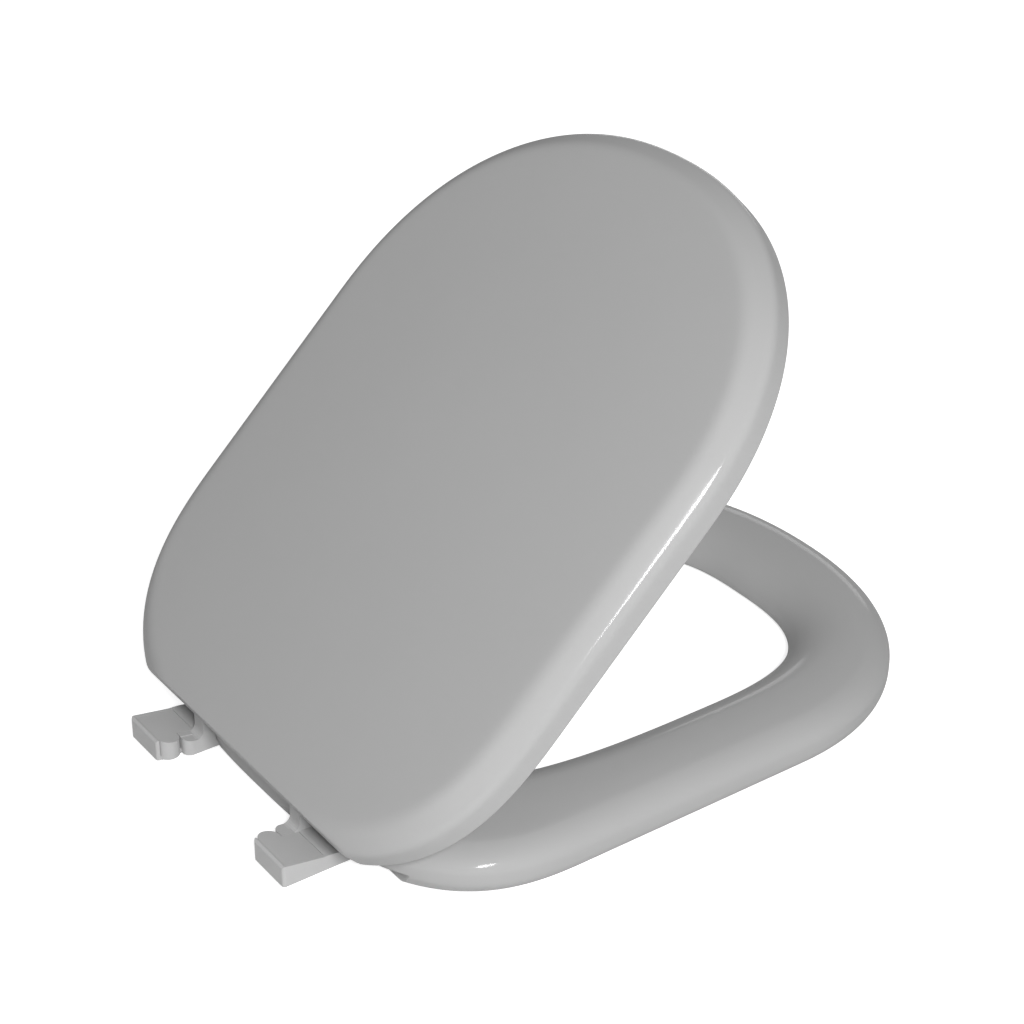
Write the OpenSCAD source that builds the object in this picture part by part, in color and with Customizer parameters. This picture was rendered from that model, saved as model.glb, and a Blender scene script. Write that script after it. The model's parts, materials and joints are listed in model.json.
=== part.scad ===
// Padded toilet seat: a ring and a lid of foam on moulded boards under grey vinyl covers,
// hinged on two pins that two moulded feet carry.
// X runs across, the front of the seat points along -Y, and Z is up.
// The origin lies midway between the two fixing holes, on the rim that the seat rests on.

/* [Seat ring] */
// Width of the seat ring
seat_w = 350; // [310:1:430]
// Length of the seat ring, rear edge to front
seat_l = 439; // [390:0.5:530]
// Height of the ring's crown over the rim
seat_top = 32; // [29:0.5:32.5]
// Height of the ring's underside over the rim
seat_under = 2.5; // [2:0.5:3]
// Thickness of the moulded board under the ring's foam
seat_board_t = 12; // [10:0.1:14.4]
// Width of the ring beside the opening
side_land = 72.5; // [60:0.5:87]
// Width of the ring behind the opening
rear_land = 54.5; // [52:0.5:66]
// Width of the ring in front of the opening
front_land = 62; // [51:0.5:75]

/* [Lid] */
// How far the lid reaches beyond the ring on each side
lid_side = 4.25; // [4.25:0.25:10]
// How far the lid reaches beyond the ring in front
lid_front = 3; // [3:0.25:12]
// Thickness of the lid from its rim to its top
lid_t = 27; // [24:0.5:30]
// Depth of the hollow under the lid
lid_hollow = 10; // [9.5:0.5:10.5]
// Thickness of the moulded board in the lid
lid_board_t = 7; // [6.8:0.1:8.4]
// How far the lid stands open as drawn
lid_angle = 44; // [0:1:90]

/* [Covers] */
// Thickness of the vinyl covers
cover_t = 0.9; // [0.7:0.1:1.2]
// Width of the covers' hems under the ring
hem_w = 8.3; // [6:0.1:10]

/* [Hinge] */
// Distance between the two fixing holes
fixing_spacing = 155; // [145:1:186]
// Diameter of the fixing holes
fixing_d = 8.5; // [6.5:0.5:10]
// Distance of the hinge axis in front of the fixing holes
axis_forward = 23.5; // [23:0.5:25]
// Height of the hinge axis over the rim
axis_h = 22; // [21.5:0.5:23]
// Diameter of the hinge pins
pin_d = 7; // [5.5:0.1:8.4]
// Radius of the round ears on the pins
ear_r = 8.5; // [7:0.1:9]
// Width of each foot's knuckle
knuckle_w = 11; // [9:0.5:11.5]
// Width of each ear
ear_w = 8.6; // [7:0.1:9]
// Gap between two ears, side by side
ear_gap = 0.45; // [0.3:0.05:0.6]
// Running clearance of a pin in an ear, on the radius
pin_play = 0.06; // [0.03:0.01:0.1]

/* [Feet] */
// Width of a foot behind its knuckle
foot_w = 33; // [32:0.5:36]
// Length of a foot
foot_l = 46; // [44:0.5:55]
// Height of a foot's rear edge over the rim
foot_top = 18; // [15:0.5:20]
// Height of a foot under the open lid
foot_dip = 13.2; // [12:0.1:13.5]
// Thickness of the rubber pad under a foot
foot_pad_t = 3.5; // [2:0.1:3.6]
// Wall of a foot round its cap
foot_wall = 2.2; // [1.8:0.1:3]
// Clearance of a cap in its foot
cap_play = 0.25; // [0.15:0.05:0.4]

/* [Buffers and screws] */
// Diameter of the seat's buffers
buffer_d = 26; // [20:1:31]
// Diameter of the lid's buffers
lid_buffer_d = 18; // [14:0.5:22]
// Diameter of the wood screws
screw_d = 3.5; // [3:0.1:4]
// Length of the wood screws
screw_l = 8; // [7:0.5:9]

/* [Hidden] */

vinyl = [0.68, 0.68, 0.68];
foam = [0.90, 0.87, 0.78];
board = [0.60, 0.60, 0.60];
moulding = [0.64, 0.64, 0.64];
rubber = [0.35, 0.35, 0.35];
steel = [0.75, 0.76, 0.78];

// Steps along the front curve and along each rear curve of an outline
front_steps = 12;
rear_steps = 10;

axis_y = -axis_forward;
seat_rear_y = axis_y + 5.5;
lid_rear_y = axis_y + 6.5;
lid_w = seat_w + 2 * lid_side;
lid_l = seat_l + lid_front + lid_rear_y - seat_rear_y;
lid_rim_z = axis_h + 2;
ceiling_z = lid_rim_z + lid_hollow;

knuckle_in = fixing_spacing / 2 - 26.7;
knuckle_out = knuckle_in + knuckle_w;
lid_ear_in = knuckle_out + ear_gap;
seat_ear_in = lid_ear_in + ear_w + ear_gap;
notch_in = knuckle_in - 0.8;
notch_out = seat_ear_in + ear_w + 1.6;
notch_front = 13;

foot_front_y = axis_y - 4;
foot_rear_y = foot_front_y + foot_l;
foot_out = fixing_spacing / 2 + 13.3;
foot_in = foot_out - foot_w;
flange_t = 3;
flange_l = 26;

// A D-shaped outline: [width, length, end of the rear curve, start of the front curve,
// depth of the rear curve, its exponent, exponent of the front curve, and how far beyond its
// straight rear cut a drawn-in curve may reach]
hole_w = seat_w - 2 * side_land;
hole_l = seat_l - rear_land - front_land;
seat_form = [seat_w, seat_l, seat_l * 0.27, seat_l * 0.64, seat_l * 0.2723, 2.8, 2.18, 1];
hole_form = [hole_w, hole_l, hole_l * 0.6, hole_l * 0.6125, hole_l * 0.603, 2.85, 2.85, 1];
lid_form = [lid_w, lid_l, lid_l * 0.29, lid_l * 0.598, lid_l * 0.33, 2.7, 2.21, lid_l];

// Right half of an outline from the front tip to the rear edge, as [x, distance from the rear edge],
// drawn in by d all round and cut off straight at a distance of cut
function half_outline(f, d, cut) =
    let (
        depth = f[4] - min(d, cut + f[7]),
        turn = min(88, asin(min(1, pow((f[2] - cut) / depth, f[5] / 2))))
    )
    concat(
        [for (i = [0 : front_steps]) let (t = 90 - 90 * i / front_steps)
            [(f[0] / 2 - d) * pow(cos(t), 2 / f[6]), f[3] + (f[1] - f[3] - d) * pow(sin(t), 2 / f[6])]],
        [for (i = [0 : rear_steps]) let (t = turn * i / rear_steps)
            [(f[0] / 2 - d) * pow(cos(t), 2 / f[5]), f[2] - depth * pow(sin(t), 2 / f[5])]]
    );

// Whole outline in plan, for a piece whose rear edge lies at y = rear
function outline(f, d, cut, rear) =
    let (right = half_outline(f, d, cut), last = len(right) - 1)
    concat(
        [for (p = right) [p[0], rear - p[1]]],
        [for (i = [last : -1 : 1]) [-right[i][0], rear - right[i][1]]]
    );

// Closed ring of points for each [inset, height, cut] of a profile
function rings(profile, f, rear) =
    [for (s = profile) [for (p = outline(f, s[0], s[2], rear)) [p[0], p[1], s[1]]]];

function even(profile) = [for (s = profile) [s[0], s[1], s[0]]];

function backwards(list) = [for (i = [len(list) - 1 : -1 : 0]) list[i]];

function edge_normal(a, b) =
    let (length = norm([b[0] - a[0], b[1] - a[1]])) [(b[1] - a[1]) / length, (a[0] - b[0]) / length];

// The profile a distance t inside another one
function inside(p, t) =
    let (last = len(p) - 1)
    [for (i = [0 : last])
        let (
            n1 = edge_normal(p[max(0, i - 1)], p[max(1, i)]),
            n2 = edge_normal(p[min(last - 1, i)], p[min(last, i + 1)]),
            n = (n1 + n2) / norm(n1 + n2),
            reach = t / (n * n1)
        )
        [p[i][0] + reach * n[0], p[i][1] + reach * n[1], p[i][2] + reach * n[0]]];

// Solid through a list of closed rings of equal length. A looped one joins its last ring
// to its first, and any other is closed by flat ends. Between the lining's rings, from one index
// to the other, facets are split along the other diagonal, so that they match the core's.
module loft(loops, looped = false, lining = [0, 0]) {
    n = len(loops[0]);
    last = len(loops) - 1;
    sides = [for (k = [0 : looped ? last : last - 1], i = [0 : n - 1])
        let (a = k * n, b = ((k + 1) % len(loops)) * n, j = (i + 1) % n)
        each k >= lining[0] && k < lining[1]
            ? [[a + i, b + i, a + j], [b + i, b + j, a + j]]
            : [[a + i, b + i, b + j], [a + i, b + j, a + j]]];
    ends = looped ? [] : [[for (i = [0 : n - 1]) i], [for (i = [n - 1 : -1 : 0]) last * n + i]];
    polyhedron([for (r = loops) each r], concat(sides, ends), convexity = 10);
}

module both_sides() {
    children();
    mirror([1, 0, 0]) children();
}

// Turns a piece drawn on the closed lid to where the lid stands
module on_lid() {
    translate([0, axis_y, axis_h]) rotate([-lid_angle, 0, 0]) translate([0, -axis_y, -axis_h]) children();
}

// Plate drawn in side view as [y, z] points, from x over its width
module side_plate(points, x, width) {
    translate([x, 0, 0]) rotate([90, 0, 90]) linear_extrude(width) polygon(points);
}

module along_pin(x) {
    translate([x, axis_y, axis_h]) rotate([0, 90, 0]) children();
}

module pin_bore(x, width, play) {
    along_pin(x - 0.5) cylinder(d = pin_d + 2 * play, h = width + 1, $fn = 64);
}

// Pan-head screw with its head below z = 0
module screw(length) {
    head_h = 1.6;
    tip = 1.5;
    translate([0, 0, -head_h]) cylinder(d = screw_d * 2, h = head_h, $fn = 32);
    cylinder(d = screw_d, h = length - tip, $fn = 32);
    translate([0, 0, length - tip]) cylinder(d1 = screw_d, d2 = screw_d * 0.4, h = tip, $fn = 32);
}

// Seat ring
board_top = seat_under + seat_board_t;
lower_round = 8.7;
lower_round_h = 9.5;
outer_round = 24;
outer_round_h = 15;
inner_round = 36;
shoulder_z = seat_top - outer_round_h;
inner_low_z = seat_under + 4;
// Half of the crown's width, where the two rounded sides stop
crown_half = 8;
outer_turn = acos(crown_half / outer_round);
inner_turn = acos(crown_half / inner_round);
outer_hem = lower_round + hem_w;
hole_hem = -4 - hem_w;

// Profiles of the cover as [inset, height, cut]: up the outside, and down into the opening.
// The lower edge is rounded much less along the straight rear.
function seat_cut(inset) = inset - 0.8 * min(inset, lower_round);
outer_profile = concat(
    [for (s = concat(
        [[outer_hem, seat_under], [lower_round, seat_under]],
        [for (t = [25, 50, 70, 90]) [lower_round * (1 - sin(t)), seat_under + lower_round_h * (1 - cos(t))]]
    )) [s[0], s[1], seat_cut(s[0])]],
    even([for (k = [0 : 5]) let (t = outer_turn * k / 5)
        [outer_round * (1 - cos(t)), shoulder_z + outer_round_h * sin(t)]])
);
inner_profile = even(concat(
    [for (k = [5 : -1 : 0]) let (t = inner_turn * k / 5)
        [-inner_round * (1 - cos(t)), inner_low_z + (seat_top - inner_low_z) * sin(t)]],
    [[-1.2, seat_under + 1.1], [-4, seat_under], [hole_hem, seat_under]]
));

// Rings over the crown, as [share of the way from the outer side to the inner, height]
crown_steps = [[0.25, seat_top - 0.25], [0.5, seat_top], [0.75, seat_top - 0.25]];

function between(a, b, share, z) =
    [for (i = [0 : len(a) - 1]) let (p = a[i] + (b[i] - a[i]) * share) [p[0], p[1], z]];

// Rings up the outer side, over the crown and down into the opening
function ring_rings(outer, inner, drop) =
    let (
        up = rings(outer, seat_form, seat_rear_y),
        down = rings(inner, hole_form, seat_rear_y - rear_land)
    )
    concat(up, [for (c = crown_steps) between(up[len(up) - 1], down[0], c[0], c[1] - drop)], down);

// Gaps in the rear edge for the ears and knuckles, a step over the feet, and a lower one
// under the rear corners
module hinge_notches() {
    both_sides() {
        translate([notch_out, axis_y - 16.5, seat_under - 1])
            cube([seat_w, 60, seat_board_t - 2]);
        translate([notch_in, axis_y - notch_front, seat_under - 1])
            cube([notch_out - notch_in, 60, seat_top]);
        translate([notch_in, foot_front_y - 2.5, seat_under - 1])
            cube([foot_out + 1.5 - notch_in, 60, 14]);
    }
}

seat_lining = ring_rings(inside(outer_profile, cover_t), inside(inner_profile, cover_t), cover_t);

module seat_cover() {
    skin = ring_rings(outer_profile, inner_profile, 0);
    color(vinyl) difference() {
        loft(concat(skin, backwards(seat_lining)), looped = true, lining = [len(skin), 2 * len(skin) - 1]);
        hinge_notches();
        seat_flange_pockets();
    }
}

// Everything inside the seat's cover: foam above the board's top, board below it
module seat_core() {
    loft(concat(
        seat_lining,
        rings([[hole_hem, seat_under, hole_hem]], hole_form, seat_rear_y - rear_land),
        rings([[outer_hem, seat_under, seat_cut(outer_hem)]], seat_form, seat_rear_y)
    ), looped = true);
}

module seat_foam() {
    color(foam) difference() {
        seat_core();
        translate([-seat_w, -seat_l * 1.5, seat_under - 1])
            cube([2 * seat_w, 2 * seat_l, seat_board_t + 1]);
        hinge_notches();
    }
}

// Places of the buffers under the ring, as [x, y] on the right
buffer_spots = [
    [(seat_w + hole_w) / 4 + 0.5, seat_rear_y - seat_l * 0.62],
    [seat_w * 0.33, seat_rear_y - rear_land - 12]
];
buffer_stem_d = 10;
buffer_stem_h = 4.5;

// Pockets under the board leave a rim along both edges, ribs across it and pads for the buffers
module underside_pockets() {
    rib = 3;
    depth = seat_board_t - 5;
    translate([0, 0, seat_under - 1]) linear_extrude(depth + 1) difference() {
        polygon(outline(seat_form, 21, 21, seat_rear_y));
        polygon(outline(hole_form, -16, -16, seat_rear_y - rear_land));
        translate([0, seat_rear_y - seat_l * 0.52])
            for (a = [0 : 15 : 165]) rotate(a) square([seat_l * 1.2, rib], center = true);
        translate([-seat_w / 2, axis_y - notch_front - flange_l - 5]) square([seat_w, 80]);
        both_sides() for (p = buffer_spots) translate(p) circle(d = buffer_stem_d + 6, $fn = 48);
    }
}

module seat_flange_screws() {
    both_sides() for (x = [seat_ear_in - 7, seat_ear_in + ear_w - 3], y = [6, 20])
        translate([x, axis_y - notch_front - y, 0]) children();
}

module seat_flange_pockets() {
    both_sides() translate([notch_in, axis_y - notch_front - flange_l - 0.2, seat_under - 1])
        cube([notch_out + 0.6 - notch_in, flange_l + 1, flange_t + 1]);
}

module seat_base() {
    color(board) difference() {
        seat_core();
        translate([-seat_w, -seat_l * 1.5, board_top]) cube([2 * seat_w, 2 * seat_l, seat_top]);
        hinge_notches();
        underside_pockets();
        seat_flange_pockets();
        both_sides() for (p = buffer_spots)
            translate([p[0], p[1], seat_under - 1]) cylinder(d = buffer_stem_d, h = buffer_stem_h + 1, $fn = 48);
        seat_flange_screws() translate([0, 0, seat_under]) cylinder(d = screw_d, h = screw_l, $fn = 32);
    }
}

// Bracket under the board: a screwed flange, an arm in front of the foot and a round ear on the pin
module seat_hinge() {
    front = axis_y - notch_front - flange_l;
    arm_front = axis_y - 12.6;
    arm_rear = foot_front_y - 2.3;
    arm = [
        [arm_front, seat_under], [arm_rear, seat_under], [arm_rear, axis_h - 11.5],
        [axis_y - 4.5, axis_h - ear_r + 1.5], [axis_y, axis_h], [axis_y - ear_r + 0.6, axis_h + 2.5],
        [arm_front, axis_h - 8]
    ];
    color(moulding) difference() {
        union() {
            along_pin(seat_ear_in) cylinder(r = ear_r, h = ear_w, $fn = 64);
            side_plate(arm, seat_ear_in, ear_w);
            translate([notch_in + 0.2, front, seat_under])
                cube([notch_out + 0.2 - notch_in, flange_l, flange_t]);
            translate([seat_ear_in, front + 2, seat_under]) cube([ear_w, flange_l, flange_t]);
        }
        pin_bore(seat_ear_in, ear_w, pin_play);
        seat_flange_screws() translate([0, 0, seat_under - 1])
            cylinder(d = screw_d + 0.3, h = flange_t + 2, $fn = 32);
    }
}

module seat_hinge_right() {
    seat_hinge();
}

module seat_hinge_left() {
    mirror([1, 0, 0]) seat_hinge();
}

module seat_hinge_screws() {
    color(steel) seat_flange_screws() translate([0, 0, seat_under]) screw(screw_l);
}

module seat_buffers() {
    color(rubber) both_sides() for (p = buffer_spots) translate([p[0], p[1], 0]) {
        cylinder(d1 = buffer_d - 2, d2 = buffer_d, h = seat_under, $fn = 64);
        cylinder(d = buffer_stem_d, h = seat_under + buffer_stem_h, $fn = 64);
    }
}

// Lid, drawn closed and then opened
lid_board_top = lid_hollow + lid_board_t;

// The rear edge is rounded over much less than the other edges
function lid_cut(inset) = min(inset, 1.5 + inset * 0.15);

// Profile of the lid's cover from the rim up over the rounded edge, with heights over the rim
lid_round = 14.5;
lid_profile = [for (s = concat(
    [[0.3, 0], [0, 1]],
    [for (t = [0 : 15 : 75]) [lid_round * (1 - cos(t)), lid_t - 0.2 - lid_round * (1 - sin(t))]],
    [[16, lid_t - 0.1], [45, lid_t]]
)) [s[0], s[1], lid_cut(s[0])]];
lid_lining = inside(lid_profile, cover_t);

function raised(profile) = [for (s = profile) [s[0], s[1] + lid_rim_z, s[2]]];

// The hollow is open behind, and goes deeper over the hinges
module lid_notches() {
    hollow_half = knuckle_in + 45;
    depth = 24;
    translate([-hollow_half, lid_rear_y - depth, lid_rim_z - 1])
        cube([2 * hollow_half, depth + 10, lid_hollow + 1]);
    both_sides() translate([notch_in - 0.5, lid_rear_y - depth, lid_rim_z - 1])
        cube([notch_out - notch_in + 1, depth + 10, 15.5]);
}

module lid_cover() {
    color(vinyl) on_lid() difference() {
        loft(rings(raised(concat(backwards(lid_lining), lid_profile)), lid_form, lid_rear_y),
            lining = [0, len(lid_lining) - 1]);
        lid_notches();
    }
}

// Everything inside the lid's cover: foam above the board's top, board below it
module lid_core() {
    hollow = even([[20, lid_hollow], [12, lid_hollow - 0.5], [7, 6.4], [4.3, 3.4], [3, lid_lining[0][1]]]);
    loft(rings(raised(concat(hollow, lid_lining)), lid_form, lid_rear_y));
}

module lid_foam() {
    color(foam) on_lid() difference() {
        lid_core();
        translate([-lid_w, -lid_l * 1.5, lid_rim_z - 1]) cube([2 * lid_w, 2 * lid_l, lid_board_top + 1]);
        lid_notches();
    }
}

// Places of the buffers in the lid, over the ring's crown, as [x, y] on the right
lid_buffer_spots = [
    [(seat_w + hole_w) / 4 + 3, seat_rear_y - seat_l * 0.70],
    [(seat_w + hole_w) / 4 + 3, seat_rear_y - seat_l * 0.33]
];
lid_stem_d = 6;
lid_stem_h = 4;
lid_flange_y = lid_rear_y - 24;
lid_screw_l = lid_board_t - 1.2;

module lid_flange_screws() {
    both_sides() for (x = [lid_ear_in - 7, lid_ear_in + ear_w + 7], y = [6, 20])
        translate([x, lid_flange_y - y, 0]) children();
}

module lid_base() {
    color(board) on_lid() difference() {
        lid_core();
        translate([-lid_w, -lid_l * 1.5, lid_rim_z + lid_board_top]) cube([2 * lid_w, 2 * lid_l, lid_t]);
        lid_notches();
        both_sides() translate([lid_ear_in - 12.2, lid_flange_y - flange_l - 0.2, ceiling_z - 1])
            cube([ear_w + 24.4, flange_l + 1, flange_t + 1]);
        both_sides() for (p = lid_buffer_spots)
            translate([p[0], p[1], ceiling_z - 1]) cylinder(d = lid_stem_d, h = lid_stem_h + 1, $fn = 48);
        lid_flange_screws() translate([0, 0, ceiling_z]) cylinder(d = screw_d, h = lid_screw_l, $fn = 32);
    }
}

// Bracket under the lid's board: a screwed flange and an arm down to a round ear on the pin
module lid_hinge() {
    front = lid_flange_y - flange_l;
    arm_t = flange_t - 0.3;
    arm_top = ceiling_z + arm_t;
    arm = [
        [axis_y - 12, ceiling_z], [axis_y - 12, arm_top], [axis_y + 2, arm_top],
        [axis_y + ear_r - 0.3, axis_h + 2], [axis_y, axis_h], [axis_y - ear_r + 0.3, axis_h + 2]
    ];
    color(moulding) on_lid() difference() {
        union() {
            along_pin(lid_ear_in) cylinder(r = ear_r, h = ear_w, $fn = 64);
            side_plate(arm, lid_ear_in, ear_w);
            translate([lid_ear_in - 12, front, ceiling_z]) cube([ear_w + 24, flange_l, flange_t]);
            translate([lid_ear_in, front + 2, ceiling_z]) cube([ear_w, axis_y - front - 12, arm_t]);
        }
        pin_bore(lid_ear_in, ear_w, pin_play);
        lid_flange_screws() translate([0, 0, ceiling_z - 1])
            cylinder(d = screw_d + 0.3, h = flange_t + 2, $fn = 32);
    }
}

module lid_hinge_right() {
    lid_hinge();
}

module lid_hinge_left() {
    mirror([1, 0, 0]) lid_hinge();
}

module lid_hinge_screws() {
    color(steel) on_lid() lid_flange_screws() translate([0, 0, ceiling_z]) screw(lid_screw_l);
}

module lid_buffers() {
    buffer_h = ceiling_z - seat_top - 0.3;
    color(rubber) on_lid() both_sides() for (p = lid_buffer_spots) translate([p[0], p[1], ceiling_z]) {
        translate([0, 0, -buffer_h]) cylinder(d1 = lid_buffer_d - 2, d2 = lid_buffer_d, h = buffer_h, $fn = 64);
        cylinder(d = lid_stem_d, h = lid_stem_h, $fn = 48);
    }
}

// Feet
knuckle_r = 9.3;
knuckle_back = 13;
back_r = knuckle_back + 0.35;
blend_r = 5;
lobe_r = 7.2;
cap_front_y = axis_y + knuckle_back + 1;
cap_rear_y = foot_rear_y - foot_wall;
cap_in = knuckle_out + 0.3;
cap_out = foot_out - foot_wall;
cap_top_t = 2.2;
cap_skirt_t = 1.6;
step_y = cap_rear_y - 2 * lobe_r;
floor_t = 2.5;
crest_y = cap_front_y + 1;
toe_z = foot_pad_t + 2.5;

// Side view of a foot: a long fall from its rear edge, then a round nose down to a thin toe
foot_side = concat(
    [[foot_front_y, foot_pad_t], [foot_rear_y, foot_pad_t], [foot_rear_y, foot_top - 1.5]],
    [[foot_rear_y - 1.4, foot_top - 0.2]],
    [for (t = [0 : 10 : 90])
        [crest_y - (crest_y - foot_front_y) * sin(t), toe_z + (foot_dip - toe_z) * cos(t)]]
);

// Side view of the knuckle: round in front, upright behind, with a hollow curve down to the foot
knuckle_side = concat(
    [[foot_front_y, foot_pad_t], [axis_y - knuckle_r, axis_h - 8]],
    [for (t = [180 : -15 : 90]) [axis_y + knuckle_r * cos(t), axis_h + knuckle_r * sin(t)]],
    [for (t = [43 : -10 : 13]) [axis_y + back_r * cos(t), axis_h + back_r * sin(t)]],
    [for (t = [180 : 15 : 270]) [axis_y + knuckle_back + blend_r + blend_r * cos(t),
        foot_dip + 0.1 + blend_r + blend_r * sin(t)]],
    [[step_y, foot_dip + 1.4], [step_y, foot_pad_t]]
);

// Space below a foot's sloping top in side view, lowered by drop
function under_top(drop) = [
    [foot_rear_y + 1, 0], [foot_rear_y + 1, foot_top - drop], [crest_y, foot_dip - drop],
    [cap_front_y - 5, foot_dip - drop - 0.8], [cap_front_y - 5, 0]
];

module rounded_plan(inset) {
    r = 2;
    x0 = foot_in + inset;
    y0 = foot_front_y + inset;
    w = foot_w - 2 * inset;
    l = foot_l - 2 * inset;
    translate([x0 + r, y0]) square([w - 2 * r, l]);
    translate([x0, y0 + r]) square([w, l - 2 * r]);
    for (x = [x0 + r, x0 + w - r], y = [y0 + r, y0 + l - r]) translate([x, y]) circle(r = r, $fn = 32);
}

// Plan of the knuckle's root, with its inner rear corner round
module knuckle_plan() {
    r = knuckle_w / 2;
    front = axis_y - knuckle_r - 1;
    translate([knuckle_in, front]) square([knuckle_w, step_y - r - front]);
    translate([knuckle_in + r, step_y - r - 1]) square([r, r + 1]);
    translate([knuckle_in + r, step_y - r]) circle(r = r, $fn = 64);
}

// Plan of a cap, drawn in by inset: square round the fixing, with a round lobe on the inner side
module cap_plan(inset) {
    lobe_x = foot_in + 2.8;
    translate([cap_in + inset, cap_front_y + inset])
        square([cap_out - cap_in - 2 * inset, cap_rear_y - cap_front_y - 2 * inset]);
    translate([lobe_x, cap_rear_y - lobe_r]) circle(r = lobe_r - inset, $fn = 64);
    translate([lobe_x, cap_rear_y - 2 * lobe_r + inset])
        square([cap_in + 1 - lobe_x, 2 * lobe_r - 2 * inset]);
}

module hinge_foot() {
    boss_d = 18;
    recess_d = 15.5;
    color(moulding) difference() {
        union() {
            intersection() {
                linear_extrude(foot_top + 5) rounded_plan(0);
                side_plate(foot_side, foot_in - 1, foot_w + 2);
            }
            intersection() {
                linear_extrude(axis_h + 20) knuckle_plan();
                side_plate(knuckle_side, knuckle_in - 1, knuckle_w + 2);
            }
        }
        difference() {
            translate([0, 0, foot_pad_t + floor_t]) linear_extrude(foot_top) {
                cap_plan(0);
                translate([knuckle_in - 2, step_y]) square([knuckle_w + 2, 2 * lobe_r]);
            }
            translate([fixing_spacing / 2, 0, 0]) cylinder(d = boss_d, h = foot_dip - cap_top_t - 0.5, $fn = 64);
        }
        translate([fixing_spacing / 2, 0, -1]) cylinder(d = fixing_d, h = foot_top + 2, $fn = 64);
        translate([fixing_spacing / 2, 0, foot_pad_t + 4.5]) cylinder(d = recess_d, h = foot_top, $fn = 64);
        pin_bore(knuckle_in, knuckle_w, 0);
    }
}

module hinge_foot_right() {
    hinge_foot();
}

module hinge_foot_left() {
    mirror([1, 0, 0]) hinge_foot();
}

// Snap cover over the fixing: a sloping top, and a skirt that stands on the foot's floor
module foot_cap() {
    lobe_side_x = foot_in - cap_play;
    color(moulding) difference() {
        intersection() {
            union() {
                translate([0, 0, foot_pad_t + floor_t]) linear_extrude(foot_top) cap_plan(cap_play);
                intersection() {
                    translate([0, 0, foot_pad_t + 0.4]) linear_extrude(foot_top) cap_plan(cap_play);
                    translate([lobe_side_x - 20, step_y, 0]) cube([20, 3 * lobe_r, 2 * foot_top]);
                }
            }
            side_plate(under_top(0), knuckle_in - 5, 60);
        }
        intersection() {
            linear_extrude(foot_top) {
                cap_plan(cap_play + cap_skirt_t);
                translate([cap_in + cap_skirt_t + 1, cap_front_y - 1])
                    square([cap_out - cap_in, cap_rear_y - cap_front_y - cap_skirt_t]);
            }
            side_plate(under_top(cap_top_t), knuckle_in - 5, 60);
        }
    }
}

module foot_cap_right() {
    foot_cap();
}

module foot_cap_left() {
    mirror([1, 0, 0]) foot_cap();
}

module foot_pad() {
    color(rubber) difference() {
        linear_extrude(foot_pad_t) rounded_plan(4);
        translate([fixing_spacing / 2, 0, -1]) cylinder(d = fixing_d, h = foot_pad_t + 2, $fn = 64);
    }
}

module foot_pad_right() {
    foot_pad();
}

module foot_pad_left() {
    mirror([1, 0, 0]) foot_pad();
}

// Pin through the knuckle and both ears, with a flat head at its outer end
module hinge_pin() {
    head_x = seat_ear_in + ear_w + 0.15;
    color(steel) {
        along_pin(knuckle_in) cylinder(d = pin_d, h = head_x - knuckle_in + 0.1, $fn = 64);
        along_pin(head_x) cylinder(d = pin_d + 3, h = 0.8, $fn = 64);
    }
}

module hinge_pin_right() {
    hinge_pin();
}

module hinge_pin_left() {
    mirror([1, 0, 0]) hinge_pin();
}

seat_cover();
seat_foam();
seat_base();
seat_hinge_left();
seat_hinge_right();
seat_hinge_screws();
seat_buffers();
lid_cover();
lid_foam();
lid_base();
lid_hinge_left();
lid_hinge_right();
lid_hinge_screws();
lid_buffers();
hinge_foot_left();
hinge_foot_right();
foot_cap_left();
foot_cap_right();
foot_pad_left();
foot_pad_right();
hinge_pin_left();
hinge_pin_right();
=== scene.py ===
# %% [markdown]
# # A padded toilet seat, half open
#
# The real seat is two moulded boards, each with a thick foam pad under a grey vinyl cover, on a
# pair of moulded hinge feet. The boards, brackets, feet, buffers, screws and pins arrive finished
# from the construction model, and this lesson gives them their surfaces. The two pads are soft,
# so they are made here: a smooth skin is laid ring by ring, blown up a little with cloth, and
# then hollowed where its board sits.

import json
import math

import bmesh
import bpy
from mathutils import Matrix, Vector


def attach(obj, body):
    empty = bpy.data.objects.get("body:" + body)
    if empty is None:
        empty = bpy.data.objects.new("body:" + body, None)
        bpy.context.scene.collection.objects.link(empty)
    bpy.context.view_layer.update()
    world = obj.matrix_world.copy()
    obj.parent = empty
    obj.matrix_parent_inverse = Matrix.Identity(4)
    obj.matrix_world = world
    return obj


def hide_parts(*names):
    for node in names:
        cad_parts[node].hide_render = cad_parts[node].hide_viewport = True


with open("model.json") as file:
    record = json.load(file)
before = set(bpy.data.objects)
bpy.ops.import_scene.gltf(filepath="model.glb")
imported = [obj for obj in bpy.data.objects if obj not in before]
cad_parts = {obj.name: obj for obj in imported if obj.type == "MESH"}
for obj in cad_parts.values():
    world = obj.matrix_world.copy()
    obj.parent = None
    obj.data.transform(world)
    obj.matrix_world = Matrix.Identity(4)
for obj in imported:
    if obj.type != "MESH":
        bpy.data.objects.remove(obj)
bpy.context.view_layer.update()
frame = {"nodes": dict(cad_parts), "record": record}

# %% [markdown]
# ## Camera
#
# A camera can be aimed by eye, or built from measured angles. Here the angles were fitted to the
# outline of the object, so the camera is written down as three directions: to its right, up
# through its top, and back from its lens. These are the columns of its matrix.

# %% Camera from measured angles
AZIMUTH = math.radians(234.11)
ELEVATION = math.radians(30.18)
ROLL = math.radians(0.37)
AIM = Vector((-0.00865, -0.19881, 0.13803))
DISTANCE = 1.45845

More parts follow.
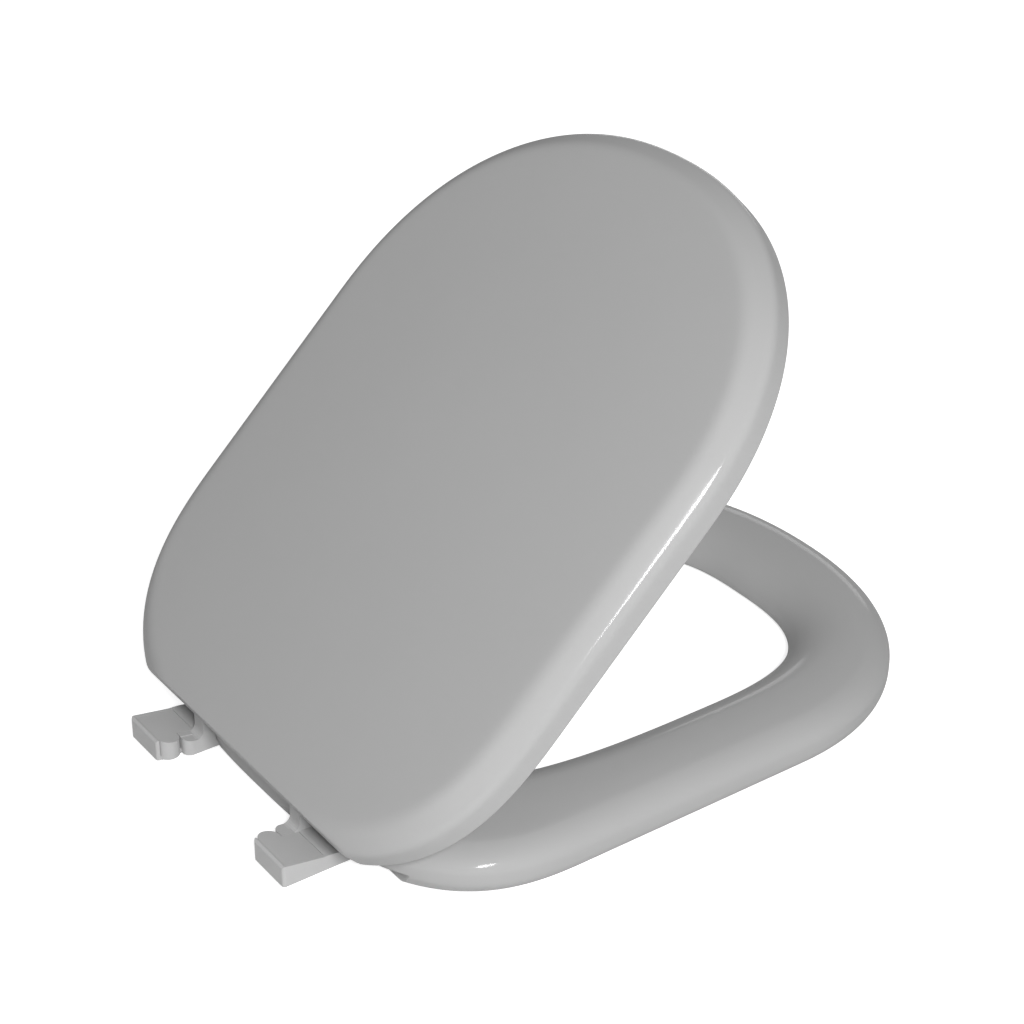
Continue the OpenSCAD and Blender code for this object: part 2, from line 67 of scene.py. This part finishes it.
camera_back = Vector((
    math.sin(AZIMUTH) * math.cos(ELEVATION), -math.cos(AZIMUTH) * math.cos(ELEVATION), math.sin(ELEVATION)))
level_right = Vector((math.cos(AZIMUTH), math.sin(AZIMUTH), 0))
level_up = camera_back.cross(level_right)
camera_right = level_right * math.cos(ROLL) + level_up * math.sin(ROLL)
camera_up = level_up * math.cos(ROLL) - level_right * math.sin(ROLL)

camera_data = bpy.data.cameras.new("camera")
camera_data.lens = 84.37
camera_data.sensor_width = 36
camera = bpy.data.objects.new("camera", camera_data)
bpy.context.scene.collection.objects.link(camera)
camera.matrix_world = Matrix.Translation(AIM + camera_back * DISTANCE) @ Matrix(
    (camera_right, camera_up, camera_back)).transposed().to_4x4()
bpy.context.scene.camera = camera
print("camera stands at", [round(c, 3) for c in camera.location])

# %% [markdown]
# ## The outline of the seat
#
# Seen from above, ring, lid and opening are all D shapes: a long front curve, straight sides, a
# tighter rear curve and a straight rear edge. Each curve is a superellipse, which is an ellipse
# whose power can be turned up until it is nearly a box. The four stretches get their own number
# of points, spaced evenly along each, so that corners stay where they are from ring to ring.

# %% Superellipse outlines
FRONT_POINTS = 46
SIDE_POINTS = 18
REAR_POINTS = 34
EDGE_POINTS = 16
# Steps of the raw curves, and the furthest that a rear curve may turn
CURVE_STEPS = 160
MOST_TURN = math.radians(89.5)

# Rear edges of ring and lid, and the width of the ring behind the opening
SEAT_REAR_Y = -0.018
LID_REAR_Y = -0.017
REAR_LAND = 0.0545
RING = dict(width=0.350, length=0.439, rear=0.11853, front=0.28096, depth=0.11954,
            rear_power=2.8, front_power=2.18, reach=0.001, rear_y=SEAT_REAR_Y)
OPENING = dict(width=0.205, length=0.3225, rear=0.1935, front=0.19753, depth=0.19447,
               rear_power=2.85, front_power=2.85, reach=0.001, rear_y=SEAT_REAR_Y - REAR_LAND)
LID = dict(width=0.3585, length=0.443, rear=0.12847, front=0.26491, depth=0.14619,
           rear_power=2.7, front_power=2.21, reach=0.443, rear_y=LID_REAR_Y)


def evenly(points, count):
    """The given path as count points with equal steps, without its last one."""
    lengths = [0.0]
    for a, b in zip(points, points[1:]):
        lengths.append(lengths[-1] + math.dist(a, b))
    spaced = []
    k = 0
    for i in range(count):
        goal = lengths[-1] * i / count
        while lengths[k + 1] < goal:
            k += 1
        t = (goal - lengths[k]) / max(lengths[k + 1] - lengths[k], 1e-12)
        spaced.append((points[k][0] + (points[k + 1][0] - points[k][0]) * t,
                       points[k][1] + (points[k + 1][1] - points[k][1]) * t))
    return spaced


def d_outline(form, inset, cut):
    """Outline of a form drawn in by inset, with its rear edge cut straight at the distance cut."""
    half = form["width"] / 2 - inset
    tip = form["length"] - form["front"] - inset
    depth = form["depth"] - min(inset, cut + form["reach"])
    turn = math.asin(min(1, max(0, (form["rear"] - cut) / depth) ** (form["rear_power"] / 2)))
    turn = min(turn, MOST_TURN)
    front = []
    rear = []
    for i in range(CURVE_STEPS + 1):
        t = math.pi / 2 * (1 - i / CURVE_STEPS)
        front.append((half * math.cos(t) ** (2 / form["front_power"]),
                      form["front"] + tip * math.sin(t) ** (2 / form["front_power"])))
        t = turn * i / CURVE_STEPS
        rear.append((half * math.cos(t) ** (2 / form["rear_power"]),
                     form["rear"] - depth * math.sin(t) ** (2 / form["rear_power"])))
    end = rear[-1]
    right = (evenly(front, FRONT_POINTS) + evenly([front[-1], rear[0]], SIDE_POINTS)
             + evenly(rear, REAR_POINTS) + evenly([end, (0, end[1])], EDGE_POINTS) + [(0, end[1])])
    left = [(-x, back) for x, back in right[-2:0:-1]]
    return [(x, form["rear_y"] - back) for x, back in right + left]


AROUND = len(d_outline(RING, 0, 0))
print("points round each outline:", AROUND)

# %% [markdown]
# ## Laying a skin ring by ring
#
# A padded cover is stretched vinyl, so its surface is one smooth sheet without corners. It could
# be sculpted, or shrunk onto a rough block. A lofted skin is chosen because each ring then
# follows the outline exactly, and the quads run along the form, which keeps the gloss clean. The
# first ring starts as a circle, and every next one is extruded from the ring before it.

# %% Skin maker
CLOSING_STEPS = 14


def ring_at(form, inset, z, cut):
    """One ring of a skin: a form's outline, drawn in and cut off behind, at a height."""
    return [Vector((x, y, z)) for x, y in d_outline(form, inset, cut)]


def ring_between(a, b, share, z):
    """A ring part of the way from one ring to another, at a height."""
    return [Vector((*p.lerp(q, share).xy, z)) for p, q in zip(a, b)]


def move_ring(ring, points):
    for vert, point in zip(ring, points):
        vert.co = point


def next_ring(bm, ring):
    """Extrudes a ring of edges and gives the new vertices in the same order."""
    edges = [bm.edges.get((a, b)) for a, b in zip(ring, ring[1:] + ring[:1])]
    made = bmesh.ops.extrude_edge_only(bm, edges=edges)["geom"]
    new = {v for v in made if isinstance(v, bmesh.types.BMVert)}
    return [next(e.other_vert(v) for e in v.link_edges if e.other_vert(v) in new) for v in ring]


def close_ring(bm, ring, z):
    """Draws a ring in to its own middle, in even steps, and ends in a point."""
    middle = sum((v.co for v in ring), Vector()) / len(ring)
    start = [v.co.copy() for v in ring]
    for k in range(1, CLOSING_STEPS):
        ring = next_ring(bm, ring)
        for vert, place in zip(ring, start):
            vert.co = place.lerp(middle, k / CLOSING_STEPS)
            vert.co.z = z
    ring = next_ring(bm, ring)
    bmesh.ops.pointmerge(bm, verts=ring, merge_co=Vector((middle.x, middle.y, z)))


def lay_skin(name, rings, looped):
    """Object whose surface runs through a list of rings of points."""
    bm = bmesh.new()
    ring = bmesh.ops.create_circle(bm, cap_ends=False, radius=1, segments=AROUND)["verts"]
    first = ring
    for k, points in enumerate(rings):
        if k:
            ring = next_ring(bm, ring)
        move_ring(ring, points)
    if looped:
        loops = [bm.edges.get((a, b)) for r in (first, ring) for a, b in zip(r, r[1:] + r[:1])]
        bmesh.ops.bridge_loops(bm, edges=loops)
    else:
        close_ring(bm, ring, rings[-1][0].z)
        close_ring(bm, first, rings[0][0].z)
    bmesh.ops.recalc_face_normals(bm, faces=bm.faces)
    mesh = bpy.data.meshes.new(name)
    bm.to_mesh(mesh)
    bm.free()
    mesh.polygons.foreach_set("use_smooth", [True] * len(mesh.polygons))
    piece = bpy.data.objects.new(name, mesh)
    bpy.context.scene.collection.objects.link(piece)
    print(name, "has", len(mesh.polygons), "faces")
    return piece


# %% [markdown]
# ## Profiles of the two pads
#
# Cut across, the ring is a fat cushion: tucked under at the bottom, upright for a little way, a
# wide dome, and a long slope down into the opening. The lid is thinner: an upright rim, a
# rounded shoulder, and a long flat top. Both start a little low, because the cloth step fills
# them out again.

# %% Ring profile
MM = 0.001
COVER = 0.9 * MM
SLACK = 0.7 * MM
SEAT_UNDER = 2.5 * MM
SEAT_TOP = 32 * MM
LOWER_ROUND = 8.7 * MM
LOWER_ROUND_HEIGHT = 9.5 * MM
DOME = 24 * MM
DOME_HEIGHT = 15 * MM
SLOPE = 36 * MM
SLOPE_FOOT = 6.5 * MM
# Degrees at which dome and slope stop, so that a flat crown is left between them
DOME_TURN = 70.5
SLOPE_TURN = 77
# Share of the lower rounding that the straight rear edge goes without
REAR_SHARPNESS = 0.8


def seat_cut(inset):
    """The ring's rear edge is rounded underneath much less than its other edges."""
    return inset - REAR_SHARPNESS * min(inset, LOWER_ROUND)


def arc(first, last, steps):
    """Evenly spaced angles from the first to the last."""
    return [math.radians(first + (last - first) * i / steps) for i in range(steps + 1)]


hem = [(RING, inset, SEAT_UNDER, seat_cut(inset)) for inset in (17 * MM, 12.8 * MM, LOWER_ROUND)]
for t in arc(15, 90, 6):
    inset = LOWER_ROUND * (1 - math.sin(t))
    hem.append((RING, inset, SEAT_UNDER + LOWER_ROUND_HEIGHT * (1 - math.cos(t)), seat_cut(inset)))
dome = []
for t in arc(0, DOME_TURN, 12):
    inset = DOME * (1 - math.cos(t))
    dome.append((RING, inset, SEAT_TOP - DOME_HEIGHT + (DOME_HEIGHT - SLACK) * math.sin(t), inset))
slope = []
for t in arc(SLOPE_TURN, 0, 14):
    inset = -SLOPE * (1 - math.cos(t))
    slope.append((OPENING, inset, SLOPE_FOOT + (SEAT_TOP - SLOPE_FOOT - SLACK) * math.sin(t), inset))
tuck = [(OPENING, inset * MM, z * MM, inset * MM)
        for inset, z in ((-0.4, 4.6), (-1.4, 3.4), (-4, 2.5), (-8, 2.5), (-12.3, 2.5))]
up = [ring_at(*step) for step in hem + dome]
down = [ring_at(*step) for step in slope + tuck]
crown = [ring_between(up[-1], down[0], share, SEAT_TOP - SLACK - drop * MM)
         for share, drop in ((0.2, 0.35), (0.4, 0.04), (0.6, 0.04), (0.8, 0.3))]
seat_rings = up + crown + down
print("rings in the seat pad:", len(seat_rings))

# %% Lid profile
LID_RIM = 24 * MM
LID_TOP = 51 * MM
LID_BOARD_TOP = LID_RIM + 17 * MM


def lid_cut(inset):
    """The lid's rear edge is rounded over much less than its other edges."""
    return min(inset, 1.5 * MM + inset * 0.15)


# Each step is the distance from the outline and the height over the rim, in millimetres
lid_side = [(inset * MM, LID_RIM + z * MM) for inset, z in (
    (0.3, 0), (0, 1), (0, 2.5), (0, 4.5), (0, 6.5), (0, 8.5), (0, 10.5), (0, 12))]
shoulder = [(inset * MM, LID_RIM + z * MM) for inset, z in (
    (0.08, 13.4), (0.3, 14.7), (0.7, 15.9), (1.3, 17.05), (2.1, 18.1), (3.1, 19.05), (4.3, 20.1),
    (5.6, 21.2), (6.9, 22.25), (8.2, 23.2), (9.5, 24.1), (10.9, 24.9), (12.4, 25.5),
    (14.2, 25.95), (16.3, 26.22))]
lid_flat = [(inset * MM, LID_TOP - SLACK) for inset in (19, 23, 28, 34, 41, 48)]
lid_rings = [ring_at(LID, inset, z, lid_cut(inset)) for inset, z in lid_side + shoulder + lid_flat]
print("rings in the lid pad:", len(lid_rings))

# %% Lay both skins
seat_pad = lay_skin("seat_padding", seat_rings, True)
lid_pad = lay_skin("lid_padding", lid_rings, False)

# %% [markdown]
# ## Blowing up the pads
#
# Foam pushes its cover out until the vinyl is tight. The cloth solver does the same with air
# pressure. The lower edge is stapled to the board on the real seat, so those points are pinned.
# The foam under real vinyl evens out every local push, so each point's outward travel is averaged
# with that of its neighbours, and none may go much further than the slack that the profile left.
# The rear edge is held as well, because the lid turns close over it.

# %% Cloth step
# Behind HELD_Y nothing moves, and the points are free from EASE further forward
HELD_Y = -0.034
EASE = 0.04
FRAMES = 20
PRESSURE = 4
STRETCH_STIFFNESS = 25
SHEAR_STIFFNESS = 12
BENDING_STIFFNESS = 4
# Rounds of averaging, and how far a point may travel
PASSES = 30
REACH = 0.9 * MM


def averaged(mesh, values, passes):
    """Evens out a list of numbers, one for each point, over the points next to it."""
    near = [[] for v in mesh.vertices]
    for edge in mesh.edges:
        a, b = edge.vertices
        near[a].append(b)
        near[b].append(a)
    for k in range(passes):
        values = [(value + sum(values[j] for j in others)) / (1 + len(others))
                  for value, others in zip(values, near)]
    return values


def blow_up(piece, free_from, full_at):
    """Inflates a pad above a height, then keeps each point within REACH of where it began."""
    start = [v.co.copy() for v in piece.data.vertices]
    pins = piece.vertex_groups.new(name="pinned")
    for v in piece.data.vertices:
        hold = 1 - min(1, max(0, (v.co.z - free_from) / (full_at - free_from)))
        pins.add([v.index], hold, "REPLACE")
    cloth = piece.modifiers.new("cloth", "CLOTH")
    cloth.settings.quality = 5
    cloth.settings.mass = 0.3
    cloth.settings.tension_stiffness = STRETCH_STIFFNESS
    cloth.settings.compression_stiffness = STRETCH_STIFFNESS
    cloth.settings.shear_stiffness = SHEAR_STIFFNESS
    cloth.settings.bending_stiffness = BENDING_STIFFNESS
    cloth.settings.use_pressure = True
    cloth.settings.uniform_pressure_force = PRESSURE
    cloth.settings.effector_weights.gravity = 0
    cloth.settings.vertex_group_mass = "pinned"
    scene = bpy.context.scene
    for number in range(1, FRAMES + 1):
        scene.frame_set(number)
    blown = piece.evaluated_get(bpy.context.evaluated_depsgraph_get()).data
    places = [v.co.copy() for v in blown.vertices]
    piece.modifiers.remove(cloth)
    outward = [v.normal.copy() for v in piece.data.vertices]
    travel = [max(0, (new - old).dot(out)) for old, new, out in zip(start, places, outward)]
    push = averaged(piece.data, travel, PASSES)
    for vert, old, out, far in zip(piece.data.vertices, start, outward, push):
        freedom = min(1, max(0, (HELD_Y - old.y) / EASE))
        vert.co = old + out * REACH * freedom * math.tanh(far / REACH)
    scene.frame_set(1)
    piece.vertex_groups.clear()
    print(piece.name, "was pushed up to", round(max(push) / MM, 2), "mm before it was held back")


blow_up(seat_pad, 10 * MM, 24 * MM)
blow_up(lid_pad, 28 * MM, 44 * MM)

# %% [markdown]
# ## Hollowing out the boards' places
#
# The pads wrap round their boards like a shower cap. The room for each board is taken out with a
# boolean, from a plain form that is one vinyl thickness smaller than the skin. Boxes then open
# the rear edge where the hinges pass. They overlap each other, so they are taken out one by one.

# %% Board forms and hinge gaps
def add_box(bm, low, high):
    """Adds a box between two opposite corners."""
    size = [h - l for l, h in zip(low, high)]
    middle = [(l + h) / 2 for l, h in zip(low, high)]
    bmesh.ops.create_cube(bm, size=1, matrix=Matrix.Translation(middle) @ Matrix.Diagonal((*size, 1)))


def box_piece(name, low, high):
    """Cutter for a box on the right side and its mirror image, or for one across the middle."""
    bm = bmesh.new()
    if low[0] > 0:
        add_box(bm, low, high)
        add_box(bm, (-high[0], low[1], low[2]), (-low[0], high[1], high[2]))
    else:
        add_box(bm, (-high[0], low[1], low[2]), high)
    mesh = bpy.data.meshes.new(name)
    bm.to_mesh(mesh)
    bm.free()
    piece = bpy.data.objects.new(name, mesh)
    bpy.context.scene.collection.objects.link(piece)
    return piece


def carve(piece, cutter):
    """Takes the cutter's space out of a piece and removes the cutter."""
    boolean = piece.modifiers.new("carve", "BOOLEAN")
    boolean.operation = "DIFFERENCE"
    boolean.solver = "MANIFOLD"
    boolean.object = cutter
    graph = bpy.context.evaluated_depsgraph_get()
    carved = bpy.data.meshes.new_from_object(piece.evaluated_get(graph), depsgraph=graph)
    piece.modifiers.clear()
    old = piece.data
    piece.data = carved
    bpy.data.meshes.remove(old)
    bpy.data.objects.remove(cutter)
    print(piece.name, "now has", len(piece.data.polygons), "faces")


# Each step is the distance from the outline, the height and the cut behind, in millimetres
outer_room = [(17, 0, 10.04), (17, 3.4, 10.04), (9.1, 3.4, 2.14), (5.9, 4.1, 1.7),
              (3.2, 6.4, 1.3), (1.5, 9.2, 1.0), (0.9, 12, 0.9), (0.9, 14.5, 0.9)]
inner_room = [(-2.7, 14.5), (-1.5, 10.5), (-1.1, 6.5), (-2.1, 4.1), (-4.2, 3.4), (-12.3, 3.4), (-12.3, 0)]
ring_room = ([ring_at(RING, inset * MM, z * MM, cut * MM) for inset, z, cut in outer_room]
             + [ring_at(OPENING, inset * MM, z * MM, inset * MM) for inset, z in inner_room])
lid_room = [ring_at(LID, inset + COVER, z, lid_cut(inset) + COVER) for inset, z in
            [(0.3 * MM, LID_RIM - MM)] + lid_side[1:] + [(0.8 * MM, LID_BOARD_TOP)]]

# %% Carve both pads
# Sides of the gap for the ears and knuckle, and the outer side of the step over a foot
GAP_IN = 50 * MM
GAP_OUT = 81.5 * MM
FOOT_OUT = 92.3 * MM
HOLLOW_OUT = 95.8 * MM
# A place behind both pads and one beside them, where a gap is open
BEHIND = 30 * MM
BESIDE = 300 * MM
LID_GAP_FRONT = -41 * MM
seat_gaps = [((GAP_IN, -36.5 * MM, 0), (GAP_OUT, BEHIND, 40 * MM)),
             ((GAP_IN, -30 * MM, 0), (FOOT_OUT, BEHIND, 15.5 * MM)),
             ((GAP_OUT, -40 * MM, 0), (BESIDE, BEHIND, 11.5 * MM))]
lid_gaps = [((0, LID_GAP_FRONT, 20 * MM), (HOLLOW_OUT, BEHIND, 34 * MM)),
            ((GAP_IN - 0.5 * MM, LID_GAP_FRONT, 20 * MM), (GAP_OUT + 0.5 * MM, BEHIND, 38.5 * MM))]
for pad, room, looped in ((seat_pad, ring_room, True), (lid_pad, lid_room, False)):
    smooth = pad.modifiers.new("smooth", "SUBSURF")
    smooth.levels = 1
    smooth.render_levels = 1
    carve(pad, lay_skin("board_room", room, looped))
for pad, gaps in ((seat_pad, seat_gaps), (lid_pad, lid_gaps)):
    for low, high in gaps:
        carve(pad, box_piece("hinge_gap", low, high))

# %% Open the lid's pad
LID_ANGLE = math.radians(44)
AXIS = Vector((0, -0.0235, 0.022))
opening_turn = Matrix.Rotation(-LID_ANGLE, 4, "X")
lid_pad.data.transform(Matrix.Translation(AXIS) @ opening_turn @ Matrix.Translation(-AXIS))
for pad, body, nodes in ((seat_pad, "seat", ("seat_cover", "seat_foam")),
                         (lid_pad, "lid", ("lid_cover", "lid_foam"))):
    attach(pad, body)
    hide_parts(*nodes)

# %% [markdown]
# ## Surfaces
#
# Nothing real has one even colour. Two small effects are shared by all materials here: a fine
# grain that mostly shows as a change in gloss, and a soft unevenness from handling and dust.
# They could be painted as pictures, but a node group with named inputs is sharp at any size, and
# every material can set its own scale and strength.

# %% Shared effects
def new_group(name, inputs, outputs):
    """Node group with its own sockets, with the nodes that bring them in and out."""
    group = bpy.data.node_groups.new(name, "ShaderNodeTree")
    for label, kind, value in inputs:
        socket = group.interface.new_socket(name=label, in_out="INPUT", socket_type=kind)
        if value is not None:
            socket.default_value = value
    for label, kind in outputs:
        group.interface.new_socket(name=label, in_out="OUTPUT", socket_type=kind)
    return group, group.nodes.new("NodeGroupInput"), group.nodes.new("NodeGroupOutput")


def grain_group():
    """Height of a fine pebble: small cells with noise on top."""
    group, given, result = new_group(
        "fine_grain", [("Vector", "NodeSocketVector", None), ("Scale", "NodeSocketFloat", 900.0)],
        [("Height", "NodeSocketFloat")])
    cells = group.nodes.new("ShaderNodeTexVoronoi")
    cells.feature = "F1"
    noise = group.nodes.new("ShaderNodeTexNoise")
    noise.inputs["Detail"].default_value = 3
    mix = group.nodes.new("ShaderNodeMath")
    mix.operation = "ADD"
    for texture in (cells, noise):
        group.links.new(given.outputs["Vector"], texture.inputs["Vector"])
        group.links.new(given.outputs["Scale"], texture.inputs["Scale"])
    group.links.new(cells.outputs["Distance"], mix.inputs[0])
    group.links.new(noise.outputs["Fac"], mix.inputs[1])
    group.links.new(mix.outputs[0], result.inputs["Height"])
    return group


def handling_group():
    """Colour and roughness that drift a little over the surface."""
    group, given, result = new_group(
        "handling", [("Vector", "NodeSocketVector", None), ("Color", "NodeSocketColor", (0.5, 0.5, 0.5, 1)),
                     ("Tone", "NodeSocketFloat", 0.04), ("Roughness", "NodeSocketFloat", 0.4),
                     ("Spread", "NodeSocketFloat", 0.05)],
        [("Color", "NodeSocketColor"), ("Roughness", "NodeSocketFloat")])
    clouds = group.nodes.new("ShaderNodeTexNoise")
    clouds.inputs["Scale"].default_value = 9
    clouds.inputs["Detail"].default_value = 4
    group.links.new(given.outputs["Vector"], clouds.inputs["Vector"])
    shade = group.nodes.new("ShaderNodeMapRange")
    shade.inputs["To Min"].default_value = -1
    group.links.new(clouds.outputs["Fac"], shade.inputs["Value"])
    tone = group.nodes.new("ShaderNodeMath")
    tone.operation = "MULTIPLY_ADD"
    group.links.new(shade.outputs["Result"], tone.inputs[0])
    group.links.new(given.outputs["Tone"], tone.inputs[1])
    tone.inputs[2].default_value = 1
    scaled = group.nodes.new("ShaderNodeVectorMath")
    scaled.operation = "SCALE"
    group.links.new(given.outputs["Color"], scaled.inputs[0])
    group.links.new(tone.outputs[0], scaled.inputs["Scale"])
    group.links.new(scaled.outputs["Vector"], result.inputs["Color"])
    rough = group.nodes.new("ShaderNodeMath")
    rough.operation = "MULTIPLY_ADD"
    group.links.new(shade.outputs["Result"], rough.inputs[0])
    group.links.new(given.outputs["Spread"], rough.inputs[1])
    group.links.new(given.outputs["Roughness"], rough.inputs[2])
    group.links.new(rough.outputs[0], result.inputs["Roughness"])
    return group


fine_grain = grain_group()
handling = handling_group()

# %% Material maker
GRAIN_HEIGHT = 0.2 * MM
COAT_ROUGHNESS = 0.1


def surface(name, color, tone, roughness, spread, grain, depth, metallic=0.0, coat=0.0, specular=0.5):
    """Material with a handled colour and gloss, and a fine grain as bump."""
    material = bpy.data.materials.new(name)
    material.use_nodes = True
    nodes = material.node_tree.nodes
    links = material.node_tree.links
    shader = nodes["Principled BSDF"]
    place = nodes.new("ShaderNodeTexCoord")
    worn = nodes.new("ShaderNodeGroup")
    worn.node_tree = handling
    worn.inputs["Color"].default_value = (*color, 1)
    worn.inputs["Tone"].default_value = tone
    worn.inputs["Roughness"].default_value = roughness
    worn.inputs["Spread"].default_value = spread
    grained = nodes.new("ShaderNodeGroup")
    grained.node_tree = fine_grain
    grained.inputs["Scale"].default_value = grain
    bump = nodes.new("ShaderNodeBump")
    bump.inputs["Strength"].default_value = depth
    bump.inputs["Distance"].default_value = GRAIN_HEIGHT
    for node in (worn, grained):
        links.new(place.outputs["Object"], node.inputs["Vector"])
    links.new(worn.outputs["Color"], shader.inputs["Base Color"])
    links.new(worn.outputs["Roughness"], shader.inputs["Roughness"])
    links.new(grained.outputs["Height"], bump.inputs["Height"])
    links.new(bump.outputs["Normal"], shader.inputs["Normal"])
    shader.inputs["Metallic"].default_value = metallic
    shader.inputs["Coat Weight"].default_value = coat
    shader.inputs["Coat Roughness"].default_value = COAT_ROUGHNESS
    shader.inputs["Specular IOR Level"].default_value = specular
    return material


# %% [markdown]
# ## One material for each finish
#
# The vinyl is smooth with a soft gloss and a thin clear layer, so a lamp leaves a sharp white
# streak on its rounded edges. The mouldings are the same grey, harder and a little duller. The
# boards are matt, the rubber is dull and dark, and the screws and pins are plain steel.

# %% Finishes
finishes = {
    "vinyl": surface("grey_vinyl", (0.402, 0.402, 0.402), tone=0.02, roughness=0.6, spread=0.04,
                     grain=1400, depth=0.04, coat=0.22, specular=0.08),
    "moulding": surface("grey_moulding", (0.465, 0.465, 0.465), tone=0.03, roughness=0.55,
                        spread=0.05, grain=900, depth=0.06),
    "board": surface("board_plastic", (0.33, 0.33, 0.33), tone=0.05, roughness=0.55, spread=0.08,
                     grain=600, depth=0.2),
    "rubber": surface("dull_rubber", (0.10, 0.10, 0.10), tone=0.12, roughness=0.8, spread=0.08,
                      grain=1200, depth=0.3),
    "steel": surface("plain_steel", (0.56, 0.57, 0.58), tone=0.05, roughness=0.32, spread=0.1,
                     grain=2500, depth=0.05, metallic=1.0),
}
slots = {part["node"]: part["material_slot"] for part in frame["record"]["subparts"]}
for name, node in frame["nodes"].items():
    if slots[name] in finishes:
        node.data.materials.clear()
        node.data.materials.append(finishes[slots[name]])
for pad in (seat_pad, lid_pad):
    pad.data.materials.clear()
    pad.data.materials.append(finishes["vinyl"])
print("finishes:", ", ".join(finishes))

# %% [markdown]
# ## Stage and light
#
# The object stands on a plain white floor in soft light. The floor and the world look white to
# the camera through their own brightness, and they are not lit any harder than the object.
# One lamp stands beside the camera. Faces that look at the camera get most of its light, and it
# draws the thin streak along the lid's edge, because its long side runs along that edge. A dim
# lamp low on the other side keeps the front and the hollow of the lid from going dark.

# %% Floor and world
FLOOR_REACH = 6
FLOOR_DROP = 0.2 * MM
FLOOR_GLOW = 0.75
SKY_LIGHT = 0.295
SKY_SEEN = 1.0

bm = bmesh.new()
bmesh.ops.create_grid(bm, x_segments=1, y_segments=1, size=FLOOR_REACH)
floor_mesh = bpy.data.meshes.new("floor")
bm.to_mesh(floor_mesh)
bm.free()
floor = bpy.data.objects.new("floor", floor_mesh)
bpy.context.scene.collection.objects.link(floor)
floor.location = (0, 0, -FLOOR_DROP)

floor_paint = bpy.data.materials.new("white_floor")
floor_paint.use_nodes = True
nodes = floor_paint.node_tree.nodes
links = floor_paint.node_tree.links
paint = nodes["Principled BSDF"]
paint.inputs["Base Color"].default_value = (0.8, 0.8, 0.8, 1)
paint.inputs["Roughness"].default_value = 0.9
paint.inputs["Specular IOR Level"].default_value = 0.0
rays = nodes.new("ShaderNodeLightPath")
glow = nodes.new("ShaderNodeEmission")
glow.inputs["Color"].default_value = (1, 1, 1, 1)
seen = nodes.new("ShaderNodeMath")
seen.operation = "MULTIPLY"
seen.inputs[1].default_value = FLOOR_GLOW
both = nodes.new("ShaderNodeAddShader")
links.new(rays.outputs["Is Camera Ray"], seen.inputs[0])
links.new(seen.outputs[0], glow.inputs["Strength"])
links.new(paint.outputs[0], both.inputs[0])
links.new(glow.outputs[0], both.inputs[1])
links.new(both.outputs[0], nodes["Material Output"].inputs["Surface"])
floor_mesh.materials.append(floor_paint)

world = bpy.data.worlds.new("studio")
bpy.context.scene.world = world
world.use_nodes = True
nodes = world.node_tree.nodes
links = world.node_tree.links
sky = nodes["Background"]
sky.inputs["Color"].default_value = (1, 1, 1, 1)
rays = nodes.new("ShaderNodeLightPath")
clear = nodes.new("ShaderNodeMath")
clear.operation = "MAXIMUM"
links.new(rays.outputs["Is Camera Ray"], clear.inputs[0])
links.new(rays.outputs["Is Transmission Ray"], clear.inputs[1])
level = nodes.new("ShaderNodeMapRange")
level.inputs["To Min"].default_value = SKY_LIGHT
level.inputs["To Max"].default_value = SKY_SEEN
links.new(clear.outputs[0], level.inputs["Value"])
links.new(level.outputs["Result"], sky.inputs["Strength"])
bpy.context.scene.view_settings.view_transform = "Standard"

# %% Lamps
TARGET = Vector((0, -0.2, 0.12))
LAMP_DISTANCE = 2.2


def lamp(name, direction, along, width, height, power):
    """Oval lamp that faces the object, with its height laid along a direction."""
    data = bpy.data.lights.new(name, "AREA")
    data.shape = "ELLIPSE"
    data.size = width
    data.size_y = height
    data.energy = power
    light = bpy.data.objects.new(name, data)
    bpy.context.scene.collection.objects.link(light)
    toward = Vector(direction).normalized()
    across = Vector(along).cross(toward).normalized()
    light.matrix_world = Matrix.Translation(TARGET + toward * LAMP_DISTANCE) @ Matrix(
        (across, toward.cross(across), toward)).transposed().to_4x4()


lamp("key_softbox", (-0.74, 0.36, 0.57), along=(0, -0.72, 0.69), width=0.31, height=0.66, power=42)
lamp("front_fill", (0.62, -0.77, 0.14), along=(0, 0, 1), width=1.3, height=0.5, power=5)
